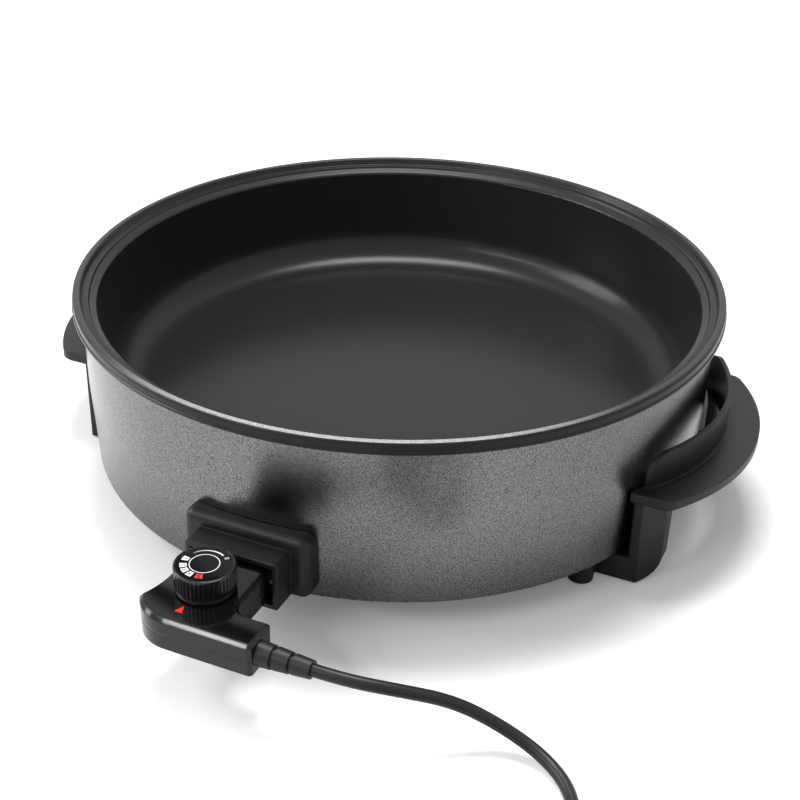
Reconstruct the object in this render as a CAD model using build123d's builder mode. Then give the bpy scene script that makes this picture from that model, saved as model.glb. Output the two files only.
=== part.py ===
from build123d import *
from math import cos, pi, radians, sin, sqrt
import os

# Electric skillet: a coated pan in a lacquered shell on two moulded handles with feet, with a
# plug-in thermostat control. Millimetres, +Z up, origin on the table under the pan's centre.
# The handles lie along X and the control's socket faces -Y.

# ---------------------------------------------------------------- driving dimensions
# pan: rim, lid seat and well. Radii in plan are set back from the lip.
rim_height = 125.5
lip_radius = 200.0
crest_setback = 2.7        # lip to the middle of the rim's crest
band_height = 6.2          # black band from the crest down to the lip
rim_depth = 6.8            # crest to the underside of the rim
seat_setback = 6.6         # lip to the outside of the flat ring that carries a lid
seat_width = 3.2
seat_drop = 3.9
ledge_setback = 10.5
ledge_drop = 5.4
well_setback = 14.8
well_edge_drop = 7.6
well_draft = 3.0
well_fillet = 24.0
floor_z = 52.0             # table to the cooking floor
pan_wall = 3.0
pan_floor = 4.0

# outer shell
shell_setback = 5.4        # lip to the shell's top edge
shell_bulge = 0.7          # top edge to the middle of the shell
shell_taper = 2.7          # middle of the shell to its foot
shell_wall = 1.5
shell_edge_fillet = 3.0
shell_flange_width = 27.2
ground_clearance = 17.0    # table to the shell's underside

# heating element and sensor well under the floor
element_radius = 120.0
element_bend = 16.0
element_tube = 3.6
rib_width = 15.0
element_drop = 7.5         # floor's underside to the element's centre line
pin_spacing = 26.0
pin_radius = 2.0
element_setback = 19.2     # shell to the element's ends
seal_length = 3.0
well_block_width = 14.0
well_block_setback = 31.2  # shell to the sensor well's mouth
well_block_length = 42.0
probe_depth = 30.0

# socket on the shell
flange_width = 76.7
flange_height = 38.6
flange_drop = 16.9         # pins down to the flange's lower edge
flange_stand = 7.7         # shell to the flange's face
flange_edge = 5.5
flange_corner = 6.0
collar_width = 56.1
collar_height = 29.7
collar_drop = 15.7
collar_length = 14.6
collar_wall = 3.0
mouth_stand = 2.1          # shell to the mouth's end wall
insert_thickness = 4.0
insert_boss_width = 36.0
insert_boss_height = 14.0
insert_boss_length = 12.0
socket_screw_x = 30.5
socket_screw_drop = 6.5
socket_screw_stand = 9.0   # shell to the screws' heads
socket_screw_length = 14.0

# handles: grip plate, heat guard, legs and feet
grip_bottom = 54.5
grip_thickness = 7.5
grip_overhang = 36.1       # shell to the grip's outer edge
grip_arc = 123.2
grip_half_length = 79.6
grip_corner = 9.0
guard_setback = 19.5       # grip's outer edge to the guard's outer face
guard_arc_less = 7.8
guard_thickness = 2.8
guard_height = 21.0        # above the grip plate
guard_end_setback = 9.1
guard_round = 12.0
handle_gap = 0.4           # between handle and shell
leg_gap = 1.6              # more room behind the legs
leg_end_setback = 1.6      # grip's end to the leg's front
leg_depth = 28.0
leg_stand = 3.5            # shell to the leg's outer face
leg_face = 11.6            # outer face to where the slanted front begins
leg_slant = 15.0
leg_lean = 0.3
leg_corner = 6.0
foot_taper = 1.5
foot_lift = 1.2            # table to the foot's underside
foot_length = 49.4
foot_round = 10.0
boss_offset = 7.5          # leg's front to the boss's centre
stub_radius = 7.5
pad_height = 3.0

# thermostat control
control_drop = 9.7         # pins down to the control's underside
control_height = 19.7
control_wall = 2.2
control_chamfer = 2.0
neck_width = 45.4
neck_insertion = 2.7       # into the collar
neck_round = 2.5
neck_step_length = 5.0
neck_step_height = 0.8
arm_stand = 37.3           # collar's front to the arm's back
arm_width = 22.0
arm_end = 45.0
arm_round = 2.5
nose_radius = 24.0         # big round of the arm's free end
nose_centre_x = -5.5
nose_angle = 203.0         # where that round ends, seen from its centre
waist_stand = 21.8         # collar's front to where the left flank starts to flare out
inner_fillet = 8.0
block_width = 36.0
block_height = 14.2
block_stand = 7.7          # mouth's end wall to the connector block
block_length = 25.3
block_flange_offset = 13.3
block_flange_length = 4.0
contact_wall = 0.9
contact_clearance = 0.3
contact_length = 27.3
earth_tab_width = 8.0
earth_tab_thickness = 0.8
earth_tab_length = 15.0
earth_tab_lift = 2.6       # above the mouth's floor
earth_clearance = 0.3
probe_radius = 3.0
probe_clearance = 0.4
switch_width = 24.0
switch_length = 20.0
switch_height = 13.0
blade_thickness = 0.8
blade_height = 5.0
terminal_start = 6.0
terminal_length = 20.0
terminal_width = 12.0
terminal_height = 10.5
lens_x = -1.0
lens_offset = 19.3         # knob's centre to the lens's tip
lens_length = 6.0
lens_width = 4.4
lens_depth = 5.5
lens_rise = 0.3
lamp_radius = 2.2
control_screw_radius = 1.2
control_screw_head = 2.4
control_screw_recess = 1.2
control_boss_radius = 2.6
control_screw_x = 17.2
back_screw_offset = 5.6    # screws behind the knob's centre, in front of it and in the arm
front_screw_offset = 18.4
arm_screw_x = 24.0
arm_screw_offset = 15.4

# knob
knob_stand = 25.4          # collar's front to the knob's centre
knob_radius = 16.4
knob_height = 11.7
knob_gap = 0.5
knob_grooves = 44
knob_groove_radius = 0.6
knob_wall = 2.6
knob_cap = 3.2
knob_hub_radius = 6.5
knob_ring_radius = 15.4
knob_ring_height = 1.8
spindle_radius = 3.95
spindle_flat = 1.1
spindle_clearance = 0.08
spindle_lift = 0.5         # between the spindle's foot and its bearing's floor
bearing_floor = 2.5
dial_radius = 14.9
dial_thickness = 0.4

# strain relief and cord
cord_radius = 3.4
cord_setback = 9.0         # arm's front to the cord's centre line
relief_length = 29.5
relief_root = 6.9
relief_tip = 4.9
relief_ribs = 3
relief_groove_width = 2.0
relief_groove_depth = 1.4
relief_neck = 5.2
relief_flange = 6.4
relief_flange_length = 3.0
clamp_start = 31.0
clamp_length = 5.0
clamp_half_width = 6.4
clamp_height = 5.5
coil_radius = 38.0         # middle of the turns
coil_offset_x = 100.5      # from the relief's end to the coil's centre
coil_offset_y = 81.5
coil_layers = 2
coil_columns = 2
coil_stub = 28.0           # straight ends that leave the coil
coil_edge = 3.8

# plug
plug_offset = 90.0         # coil's centre to the plug's back end
plug_radius = 18.5
plug_relief_radius = 5.2
plug_relief_length = 12.0
plug_grip_radius = 10.5
plug_grip_length = 20.0
plug_flare_length = 8.0
plug_disc_length = 10.0
plug_pin_radius = 2.4
plug_pin_length = 19.0
plug_pin_spacing = 19.0
plug_root_radius = 1.9     # thinner root, held inside the body
plug_root_length = 8.0
plug_earth_radius = 2.5
plug_earth_offset = 10.0
plug_earth_depth = 12.0

# screws
screw_radius = 2.0
screw_head_radius = 3.7
screw_head_height = 2.6
screw_clearance = 0.3
foot_screw_hold = 14.0     # thread inside the pan's posts

# ---------------------------------------------------------------- worked-out sizes
crest_radius = lip_radius - crest_setback
seat_outer_radius = lip_radius - seat_setback
seat_inner_radius = seat_outer_radius - seat_width
ledge_radius = lip_radius - ledge_setback
well_radius = lip_radius - well_setback
well_base_radius = well_radius - well_draft
rim_under = rim_height - rim_depth
seat_z = rim_height - seat_drop
floor_under = floor_z - pan_floor
connect_z = floor_under - element_drop
pin_x = pin_spacing / 2

shell_top_radius = lip_radius - shell_setback
shell_mid_radius = shell_top_radius - shell_bulge
shell_base_radius = shell_mid_radius - shell_taper
shell_flange_radius = shell_base_radius - shell_flange_width
shell_mid_z = (rim_under + ground_clearance) / 2
shell_flange_top = ground_clearance + shell_wall
element_end = shell_base_radius - element_setback
well_block_start = shell_base_radius - well_block_setback
well_block_end = well_block_start - well_block_length
probe_tip = well_block_start - probe_depth

flange_front = shell_mid_radius + flange_stand
flange_bottom = connect_z - flange_drop
flange_z = flange_bottom + flange_height / 2
collar_front = flange_front + collar_length
collar_bottom = connect_z - collar_drop
collar_z = collar_bottom + collar_height / 2
mouth_end = shell_mid_radius + mouth_stand
mouth_width = collar_width - 2 * collar_wall
mouth_height = collar_height - 2 * collar_wall
insert_boss_end = mouth_end - insert_boss_length
socket_screw_z = connect_z - socket_screw_drop
earth_tab_z = collar_bottom + collar_wall + earth_tab_lift

grip_top = grip_bottom + grip_thickness
grip_reach = shell_mid_radius + grip_overhang
guard_reach = grip_reach - guard_setback
guard_arc = grip_arc - guard_arc_less
guard_half_length = grip_half_length - guard_end_setback
clear_radius = shell_top_radius + handle_gap
leg_front = grip_half_length - leg_end_setback
leg_reach = shell_mid_radius + leg_stand
leg_root = leg_reach - leg_face
foot_inner = leg_reach - foot_length
foot_bottom = foot_lift
foot_thickness = ground_clearance - foot_lift
foot_screw_x = foot_inner + stub_radius
foot_screw_y = leg_front + boss_offset

control_bottom = connect_z - control_drop
control_top = control_bottom + control_height
control_split = connect_z
control_floor = control_bottom + control_wall
control_ceiling = control_top - control_wall
neck_end = collar_front - neck_insertion
neck_inner = neck_width / 2 - control_wall
waist_start = collar_front + waist_stand
arm_back = collar_front + arm_stand
arm_front = arm_back + arm_width
arm_inner_front = arm_front - control_wall
block_front = mouth_end + block_stand
block_flange_start = block_front + block_flange_offset
knob_y = collar_front + knob_stand
knob_bottom = control_top + knob_ring_height + knob_gap
knob_top = knob_bottom + knob_height
lens_tip = knob_y + lens_offset
control_screws = (
    (-control_screw_x, -knob_y + back_screw_offset),
    (control_screw_x, -knob_y + back_screw_offset),
    (-control_screw_x, -knob_y - front_screw_offset),
    (arm_screw_x, -knob_y - arm_screw_offset),
)
cord_y = arm_front - cord_setback

os.makedirs("parts", exist_ok=True)


def nearest(vertices, x, y):
    """The sketch vertex that lies nearest to a point."""
    return vertices.sort_by_distance((x, y))[0]


def write(builder, name):
    builder.part.label = name
    export_step(builder.part, f"parts/{name}.step")


# ---------------------------------------------------------------- heating element
# A round ring whose two ends turn outwards and run side by side to the socket.
bend_y = -sqrt((element_radius + element_bend) ** 2 - (pin_x + element_bend) ** 2)
bend_x = pin_x + element_bend
reach = element_radius / (element_radius + element_bend)
join_x, join_y = bend_x * reach, bend_y * reach

with BuildPart() as heating_element:
    with BuildLine(Plane.XY.offset(connect_z)) as element_path:
        Line((pin_x, -element_end), (pin_x, bend_y))
        RadiusArc((pin_x, bend_y), (join_x, join_y), element_bend)
        ThreePointArc((join_x, join_y), (0, element_radius), (-join_x, join_y))
        RadiusArc((-join_x, join_y), (-pin_x, bend_y), element_bend)
        Line((-pin_x, bend_y), (-pin_x, -element_end))
    with BuildSketch(Plane((pin_x, -element_end, connect_z), z_dir=(0, 1, 0))):
        Circle(element_tube)
    sweep()
write(heating_element, "heating_element")

with BuildPart() as element_seals:
    with BuildSketch(Plane.XZ.offset(element_end)):
        with Locations((-pin_x, connect_z), (pin_x, connect_z)):
            Circle(element_tube)
            Circle(pin_radius, mode=Mode.SUBTRACT)
    extrude(amount=seal_length)
write(element_seals, "element_seals")

for side, side_name in ((-1, "left"), (1, "right")):
    with BuildPart() as element_pin:
        with BuildSketch(Plane.XZ.offset(element_end)):
            with Locations((side * pin_x, connect_z)):
                Circle(pin_radius)
        extrude(amount=collar_front - 4 - element_end)
        chamfer(element_pin.edges().group_by(Axis.Y)[0], 0.6)
    write(element_pin, f"element_pin_{side_name}")

# ---------------------------------------------------------------- pan
# A revolved casting: floor, drafted wall, ledge, lid seat, rounded rim bead and lip. Under the
# floor are the element's rib, the sensor well and four screw posts.
band_radius = lip_radius - 0.5
bead_inner_radius = 2 * crest_radius - band_radius

with BuildPart() as well_space:
    with BuildSketch(Plane.XZ) as well_profile:
        with BuildLine():
            Polyline(
                (0, floor_z),
                (well_base_radius, floor_z),
                (well_radius, rim_height - well_edge_drop),
                (0, rim_height - well_edge_drop),
                close=True,
            )
        make_face()
        fillet(nearest(well_profile.vertices(), well_base_radius, floor_z), well_fillet)
    revolve(axis=Axis.Z)

with BuildPart() as pan:
    with BuildSketch(Plane.XZ) as pan_profile:
        with BuildLine():
            Polyline(
                (0, floor_z),
                (well_base_radius, floor_z),
                (well_radius, rim_height - well_edge_drop),
                (ledge_radius, rim_height - ledge_drop),
                (seat_inner_radius, seat_z),
                (seat_outer_radius, seat_z),
                (bead_inner_radius, rim_height),
                (band_radius, rim_height),
                (band_radius, rim_height - band_height + 1.0),
                (lip_radius, rim_height - band_height + 0.6),
                (lip_radius, rim_under),
                (well_radius + pan_wall, rim_under),
                (well_base_radius + pan_wall, floor_under),
                (0, floor_under),
                close=True,
            )
        make_face()
        fillet(nearest(pan_profile.vertices(), well_base_radius, floor_z), well_fillet)
        fillet(
            nearest(pan_profile.vertices(), well_base_radius + pan_wall, floor_under),
            well_fillet + pan_wall,
        )
        fillet(nearest(pan_profile.vertices(), well_radius, rim_height - well_edge_drop), 2.2)
        fillet(nearest(pan_profile.vertices(), seat_inner_radius, seat_z), 0.5)
        fillet(nearest(pan_profile.vertices(), seat_outer_radius, seat_z), 0.6)
        fillet(nearest(pan_profile.vertices(), bead_inner_radius, rim_height), 1.6)
        fillet(nearest(pan_profile.vertices(), band_radius, rim_height), 1.9)
    revolve(axis=Axis.Z)
    with BuildSketch(Plane.XY.offset(connect_z)):
        Circle(element_radius + rib_width / 2)
        Circle(element_radius - rib_width / 2, mode=Mode.SUBTRACT)
    extrude(amount=element_drop + 1)
    with BuildSketch(Plane.XY.offset(connect_z - well_block_width / 2 + 1.5)):
        with Locations((0, -(well_block_start + well_block_end) / 2)):
            Rectangle(well_block_width, well_block_start - well_block_end)
    extrude(amount=element_drop + well_block_width / 2)
    with BuildSketch(Plane.XY.offset(shell_flange_top)):
        with GridLocations(2 * foot_screw_x, 2 * foot_screw_y, 2, 2):
            Circle(stub_radius)
    extrude(amount=floor_z + well_fillet - shell_flange_top)
    add(well_space.part, mode=Mode.SUBTRACT)
    with BuildSketch(Plane.XZ.offset(well_block_start)):
        with Locations((0, connect_z)):
            Circle(probe_radius + probe_clearance)
    extrude(amount=-(well_block_start - probe_tip + 2), mode=Mode.SUBTRACT)
    with BuildSketch(Plane.XY.offset(shell_flange_top)):
        with GridLocations(2 * foot_screw_x, 2 * foot_screw_y, 2, 2):
            Circle(screw_radius)
    extrude(amount=foot_screw_hold, mode=Mode.SUBTRACT)
    add(heating_element.part, mode=Mode.SUBTRACT)
write(pan, "pan")

# ---------------------------------------------------------------- outer shell
# A pressed shell tucked under the rim and turned inwards at its foot. Its full outline is kept
# as a solid, which the socket's back is cut by.


def shell_outline(inset):
    """Profile points of the shell, moved inwards by a wall."""
    return (
        (shell_flange_radius, ground_clearance + inset),
        (shell_base_radius - inset, ground_clearance + inset),
        (shell_mid_radius - inset, shell_mid_z),
        (shell_top_radius - inset, rim_under),
    )


with BuildPart() as outer_shell:
    with BuildSketch(Plane.XZ) as shell_profile:
        with BuildLine():
            Polyline(*shell_outline(0), *reversed(shell_outline(shell_wall)), close=True)
        make_face()
        fillet(
            nearest(shell_profile.vertices(), shell_base_radius, ground_clearance),
            shell_edge_fillet,
        )
        fillet(
            nearest(
                shell_profile.vertices(), shell_base_radius - shell_wall, shell_flange_top
            ),
            shell_edge_fillet - shell_wall,
        )
    revolve(axis=Axis.Z)
    with BuildSketch(Plane.XZ.offset(shell_flange_radius)):
        with Locations((0, connect_z)):
            Rectangle(
                insert_boss_width + 2 * screw_clearance, insert_boss_height + 2 * screw_clearance
            )
        with Locations((-socket_screw_x, socket_screw_z), (socket_screw_x, socket_screw_z)):
            Circle(screw_radius + screw_clearance)
    extrude(amount=lip_radius - shell_flange_radius, mode=Mode.SUBTRACT)
    with BuildSketch(Plane.XY.offset(ground_clearance)):
        with GridLocations(2 * foot_screw_x, 2 * foot_screw_y, 2, 2):
            Circle(screw_radius + screw_clearance)
    extrude(amount=shell_wall, mode=Mode.SUBTRACT)
write(outer_shell, "outer_shell")

with BuildPart() as shell_body:
    with BuildSketch(Plane.XZ):
        with BuildLine():
            Polyline((0, ground_clearance), *shell_outline(-0.15)[1:], (0, rim_under), close=True)
        make_face()
    revolve(axis=Axis.Z)

# ---------------------------------------------------------------- socket
with BuildPart() as socket_housing:
    with BuildSketch(Plane.XZ.offset(flange_front)):
        with Locations((0, flange_z)):
            RectangleRounded(flange_width, flange_height, flange_corner)
    extrude(amount=-(flange_front - shell_base_radius + 12))
    fillet(socket_housing.faces().sort_by(Axis.Y)[0].edges(), flange_edge)
    with BuildSketch(Plane.XZ.offset(flange_front - 1)):
        with Locations((0, collar_z)):
            RectangleRounded(collar_width, collar_height, 2.0)
    extrude(amount=collar_front - flange_front + 1)
    fillet(socket_housing.faces().sort_by(Axis.Y)[0].outer_wire().edges(), 0.7)
    with BuildSketch(Plane.XZ.offset(collar_front)):
        with Locations((0, collar_z)):
            RectangleRounded(mouth_width, mouth_height, 1.2)
    extrude(amount=-(collar_front - mouth_end), mode=Mode.SUBTRACT)
    with BuildSketch(Plane.XZ.offset(mouth_end)):
        with Locations((0, connect_z)):
            Rectangle(
                insert_boss_width + 2 * screw_clearance, insert_boss_height + 2 * screw_clearance
            )
    extrude(amount=-30, mode=Mode.SUBTRACT)
    with BuildSketch(Plane.XZ.offset(flange_front - 3)):
        with Locations((-socket_screw_x, socket_screw_z), (socket_screw_x, socket_screw_z)):
            Circle(screw_radius)
    extrude(amount=-30, mode=Mode.SUBTRACT)
    add(shell_body.part, mode=Mode.SUBTRACT)
write(socket_housing, "socket_housing")

with BuildPart() as socket_insert:
    with BuildSketch(Plane.XZ.offset(mouth_end)):
        with Locations((0, collar_z)):
            RectangleRounded(
                mouth_width - 2 * screw_clearance, mouth_height - 2 * screw_clearance, 1.0
            )
    extrude(amount=insert_thickness)
    with BuildSketch(Plane.XZ.offset(mouth_end)):
        with Locations((0, connect_z)):
            Rectangle(insert_boss_width, insert_boss_height)
    extrude(amount=-(mouth_end - insert_boss_end))
    with BuildSketch(Plane.XZ.offset(mouth_end + insert_thickness)):
        with Locations((0, connect_z)):
            Circle(probe_radius + probe_clearance)
        with Locations((-pin_x, connect_z), (pin_x, connect_z)):
            Circle(pin_radius)
        with Locations((0, earth_tab_z)):
            Rectangle(earth_tab_width, earth_tab_thickness)
    extrude(amount=-30, mode=Mode.SUBTRACT)
write(socket_insert, "socket_insert")

with BuildPart() as earth_tab:
    with BuildSketch(Plane.XZ.offset(mouth_end)):
        with Locations((0, earth_tab_z)):
            Rectangle(earth_tab_width, earth_tab_thickness)
    extrude(amount=earth_tab_length)
write(earth_tab, "earth_tab")

with BuildPart() as socket_screws:
    with BuildSketch(Plane.XZ.offset(shell_base_radius - shell_wall - socket_screw_stand)):
        with Locations((-socket_screw_x, socket_screw_z), (socket_screw_x, socket_screw_z)):
            Circle(screw_head_radius)
    extrude(amount=screw_head_height)
    with BuildSketch(Plane.XZ.offset(shell_base_radius - shell_wall - socket_screw_stand)):
        with Locations((-socket_screw_x, socket_screw_z), (socket_screw_x, socket_screw_z)):
            Circle(screw_radius)
    extrude(amount=socket_screw_length)
write(socket_screws, "socket_screws")

# ---------------------------------------------------------------- handles
# One moulding a side: a half-moon grip plate with an upright guard on its inner edge, two legs
# under its ends and feet that turn in under the shell. The right one is mirrored to the left.
grip_centre = grip_reach - grip_arc
guard_centre = guard_reach - guard_arc
guard_inner = guard_arc - guard_thickness

with BuildPart() as heat_guard:
    with BuildSketch(Plane.XY.offset(grip_bottom)):
        with Locations((guard_centre, 0)):
            Circle(guard_arc)
            Circle(guard_inner, mode=Mode.SUBTRACT)
        with Locations((guard_centre, 0)):
            Rectangle(
                guard_arc,
                2 * grip_half_length,
                align=(Align.MIN, Align.CENTER),
                mode=Mode.INTERSECT,
            )
        Circle(clear_radius, mode=Mode.SUBTRACT)
    extrude(amount=grip_thickness + guard_height)
    with BuildSketch(Plane.YZ.offset(clear_radius - 60)) as guard_side:
        with Locations((0, grip_bottom)):
            Rectangle(
                2 * guard_half_length,
                grip_thickness + guard_height,
                align=(Align.CENTER, Align.MIN),
            )
        fillet(guard_side.vertices().group_by(Axis.Y)[-1], guard_round)
    extrude(amount=100, mode=Mode.INTERSECT)

with BuildPart() as leg:
    # the leg's plan, on the front side, then its outer foot corner rounded from the side
    with BuildSketch(Plane.XY.offset(foot_bottom)) as leg_plan:
        with BuildLine():
            Polyline(
                (leg_root, -leg_front),
                (leg_reach - leg_lean, -leg_front + leg_slant),
                (leg_reach, -leg_front + leg_depth),
                (foot_inner, -leg_front + leg_depth),
                (foot_inner, -leg_front),
                close=True,
            )
        make_face()
        fillet(
            nearest(leg_plan.vertices(), leg_reach - leg_lean, -leg_front + leg_slant), leg_corner
        )
        fillet(nearest(leg_plan.vertices(), leg_reach, -leg_front + leg_depth), 3)
    extrude(amount=grip_bottom + 1 - foot_bottom)
    with BuildSketch(Plane.XZ.offset(leg_front + 5)) as leg_side:
        with BuildLine():
            Polyline(
                (foot_inner, foot_bottom),
                (leg_reach - foot_taper, foot_bottom),
                (leg_reach, grip_bottom + 1),
                (foot_inner, grip_bottom + 1),
                close=True,
            )
        make_face()
        fillet(nearest(leg_side.vertices(), leg_reach - foot_taper, foot_bottom), foot_round)
    extrude(amount=-(leg_depth + 10), mode=Mode.INTERSECT)
    # the shell and all above the foot inside it stay free
    with BuildSketch(Plane.XY.offset(ground_clearance)):
        Circle(clear_radius + leg_gap)
    extrude(amount=grip_top, mode=Mode.SUBTRACT)
    # the boss that carries the foot's screw and pad
    with BuildSketch(Plane.XY.offset(foot_bottom)):
        with Locations((foot_screw_x, -foot_screw_y)):
            Circle(stub_radius)
        with Locations((foot_screw_x, -foot_screw_y)):
            Rectangle(
                2 * stub_radius - 2, boss_offset + 6, align=(Align.CENTER, Align.MIN)
            )
    extrude(amount=foot_thickness)

with BuildPart() as handle_right:
    with BuildSketch(Plane.XY.offset(grip_bottom)) as grip_outline:
        with Locations((grip_centre, 0)):
            Circle(grip_arc)
        with Locations((grip_centre, 0)):
            Rectangle(
                grip_arc,
                2 * grip_half_length,
                align=(Align.MIN, Align.CENTER),
                mode=Mode.INTERSECT,
            )
        Circle(clear_radius, mode=Mode.SUBTRACT)
        with Locations((guard_centre, 0)):
            Circle(guard_inner, mode=Mode.SUBTRACT)
        fillet(
            grip_outline.vertices().filter_by(
                lambda v: abs(v.Y) > grip_half_length - 0.1 and v.X > clear_radius
            ),
            grip_corner,
        )
    extrude(amount=grip_thickness)
    chamfer(handle_right.faces().sort_by(Axis.Z)[0].edges().sort_by(Axis.X)[-1], 2.0)
    add(heat_guard.part)
    add(leg.part)
    mirror(leg.part, about=Plane.XZ)
    # screw holes through the bosses, with room for the heads and the pads below
    with BuildSketch(Plane.XY.offset(foot_bottom)):
        with GridLocations(2 * foot_screw_x, 2 * foot_screw_y, 2, 2):
            Circle(screw_radius + screw_clearance)
    extrude(amount=foot_thickness, mode=Mode.SUBTRACT)
    with BuildSketch(Plane.XY.offset(foot_bottom)):
        with GridLocations(2 * foot_screw_x, 2 * foot_screw_y, 2, 2):
            Circle(screw_head_radius + screw_clearance)
    extrude(amount=pad_height - foot_bottom + screw_head_height, mode=Mode.SUBTRACT)
write(handle_right, "handle_right")

with BuildPart() as handle_left:
    mirror(handle_right.part, about=Plane.YZ)
write(handle_left, "handle_left")

with BuildPart() as foot_screws:
    with BuildSketch(Plane.XY.offset(pad_height)):
        with GridLocations(2 * foot_screw_x, 2 * foot_screw_y, 2, 2):
            Circle(screw_head_radius)
    extrude(amount=screw_head_height)
    with BuildSketch(Plane.XY.offset(pad_height)):
        with GridLocations(2 * foot_screw_x, 2 * foot_screw_y, 2, 2):
            Circle(screw_radius)
    extrude(amount=shell_flange_top + foot_screw_hold - pad_height)
write(foot_screws, "foot_screws")

with BuildPart() as foot_pads:
    with BuildSketch():
        with GridLocations(2 * foot_screw_x, 2 * foot_screw_y, 2, 2):
            Circle(screw_head_radius + screw_clearance)
    extrude(amount=pad_height)
    chamfer(foot_pads.edges().group_by(Axis.Z)[0], 0.6)
write(foot_pads, "foot_pads")

# ---------------------------------------------------------------- thermostat control
# Two moulded half shells that part at the height of the pins. Seen from above the control is an
# L: a neck that enters the socket's mouth and an arm along +X, where the cord leaves.
nose_y = nose_radius - arm_front
nose_corner = (
    nose_centre_x + nose_radius * cos(radians(nose_angle)),
    nose_y + nose_radius * sin(radians(nose_angle)),
)


with BuildSketch() as control_plan:
    with BuildLine():
        Line((-neck_width / 2, -neck_end), (-neck_width / 2, -waist_start))
        TangentArc((-neck_width / 2, -waist_start), nose_corner, tangent=(0, -1))
        CenterArc((nose_centre_x, nose_y), nose_radius, nose_angle, 270 - nose_angle)
        Polyline(
            (nose_centre_x, -arm_front),
            (arm_end, -arm_front),
            (arm_end, -arm_back),
            (neck_width / 2, -arm_back),
            (neck_width / 2, -neck_end),
            (-neck_width / 2, -neck_end),
        )
    make_face()
    fillet(nearest(control_plan.vertices(), neck_width / 2, -arm_back), inner_fillet)
    for corner in ((arm_end, -arm_front), (arm_end, -arm_back), nose_corner):
        fillet(nearest(control_plan.vertices(), *corner), arm_round)
    for x in (-neck_width / 2, neck_width / 2):
        fillet(nearest(control_plan.vertices(), x, -neck_end), neck_round)

with BuildSketch() as control_hollow:
    offset(control_plan.sketch, amount=-control_wall)
    with Locations((0, -neck_end)):
        Rectangle(2 * neck_inner, 4 * control_wall)

with BuildSketch() as lens_plan:  # a pointed lens, its tip towards the knob
    with BuildLine():
        Polyline(
            (lens_x, -lens_tip),
            (lens_x - lens_width / 2, -lens_tip - lens_length),
            (lens_x + lens_width / 2, -lens_tip - lens_length),
            close=True,
        )
    make_face()

with BuildPart() as thermostat_upper_shell:
    with BuildSketch(Plane.XY.offset(control_split)):
        add(control_plan.sketch)
    extrude(amount=control_top - control_split)
    chamfer(thermostat_upper_shell.faces().sort_by(Axis.Z)[-1].outer_wire().edges(), control_chamfer)
    with BuildSketch(Plane.XY.offset(control_top - neck_step_height)):
        with Locations((0, -neck_end)):
            Rectangle(neck_width, 2 * neck_step_length)
    extrude(amount=neck_step_height, mode=Mode.SUBTRACT)
    with BuildSketch(Plane.XY.offset(control_top - 1)):
        with Locations((0, -knob_y)):
            Circle(knob_ring_radius)
    extrude(amount=knob_ring_height + 1)
    with BuildSketch(Plane.XY.offset(control_split)):
        add(control_hollow.sketch)
    extrude(amount=control_ceiling - control_split, mode=Mode.SUBTRACT)
    with BuildSketch(Plane.XY.offset(control_split)):
        with Locations(*control_screws):
            Circle(control_boss_radius)
    extrude(amount=control_top - 1 - control_split)
    with BuildSketch(Plane.XY.offset(control_split)):
        with Locations(*control_screws):
            Circle(control_screw_radius)
    extrude(amount=control_ceiling - control_split, mode=Mode.SUBTRACT)
    with BuildSketch(Plane.XY.offset(control_ceiling - 1)):
        with Locations((0, -knob_y)):
            Circle(spindle_radius + spindle_clearance)
        add(lens_plan.sketch)
    extrude(amount=knob_ring_height + control_wall + 2, mode=Mode.SUBTRACT)
    with BuildSketch(Plane.YZ.offset(arm_end)):
        with Locations((-cord_y, control_split)):
            Circle(relief_neck)
    extrude(amount=-control_wall, mode=Mode.SUBTRACT)
write(thermostat_upper_shell, "thermostat_upper_shell")

with BuildPart() as thermostat_lower_shell:
    with BuildSketch(Plane.XY.offset(control_bottom)):
        add(control_plan.sketch)
    extrude(amount=control_split - control_bottom)
    chamfer(thermostat_lower_shell.faces().sort_by(Axis.Z)[0].outer_wire().edges(), 1.0)
    with BuildSketch(Plane.XY.offset(control_floor)):
        add(control_hollow.sketch)
    extrude(amount=control_split - control_floor, mode=Mode.SUBTRACT)
    with BuildSketch(Plane.XY.offset(control_floor - 1)):
        with Locations(*control_screws):
            Circle(control_boss_radius)
        with Locations((clamp_start + clamp_length / 2, -cord_y)):
            Rectangle(clamp_length, 2 * clamp_half_width)
    extrude(amount=control_split - control_floor + 1)
    with BuildSketch(Plane.XY.offset(control_bottom)):
        with Locations(*control_screws):
            Circle(control_screw_radius)
    extrude(amount=control_split - control_bottom, mode=Mode.SUBTRACT)
    with BuildSketch(Plane.XY.offset(control_bottom)):
        with Locations(*control_screws):
            Circle(control_screw_head)
    extrude(amount=control_screw_recess, mode=Mode.SUBTRACT)
    with BuildSketch(Plane.YZ.offset(arm_end)):
        with Locations((-cord_y, control_split)):
            Circle(relief_neck)
    extrude(amount=-control_wall, mode=Mode.SUBTRACT)
    with BuildSketch(Plane.YZ.offset(clamp_start + clamp_length)):
        with Locations((-cord_y, control_split)):
            Circle(cord_radius)
    extrude(amount=-clamp_length, mode=Mode.SUBTRACT)
write(thermostat_lower_shell, "thermostat_lower_shell")

with BuildPart() as shell_screws:
    with BuildSketch(Plane.XY.offset(control_bottom + 0.2)):
        with Locations(*control_screws):
            Circle(control_screw_head)
            Rectangle(3.4, 0.6, mode=Mode.SUBTRACT)
            Rectangle(0.6, 3.4, mode=Mode.SUBTRACT)
    extrude(amount=control_screw_recess - 0.2)
    with BuildSketch(Plane.XY.offset(control_bottom + control_screw_recess - 0.4)):
        with Locations(*control_screws):
            Circle(control_screw_radius)
    extrude(amount=control_height / 2)
write(shell_screws, "shell_screws")

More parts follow.
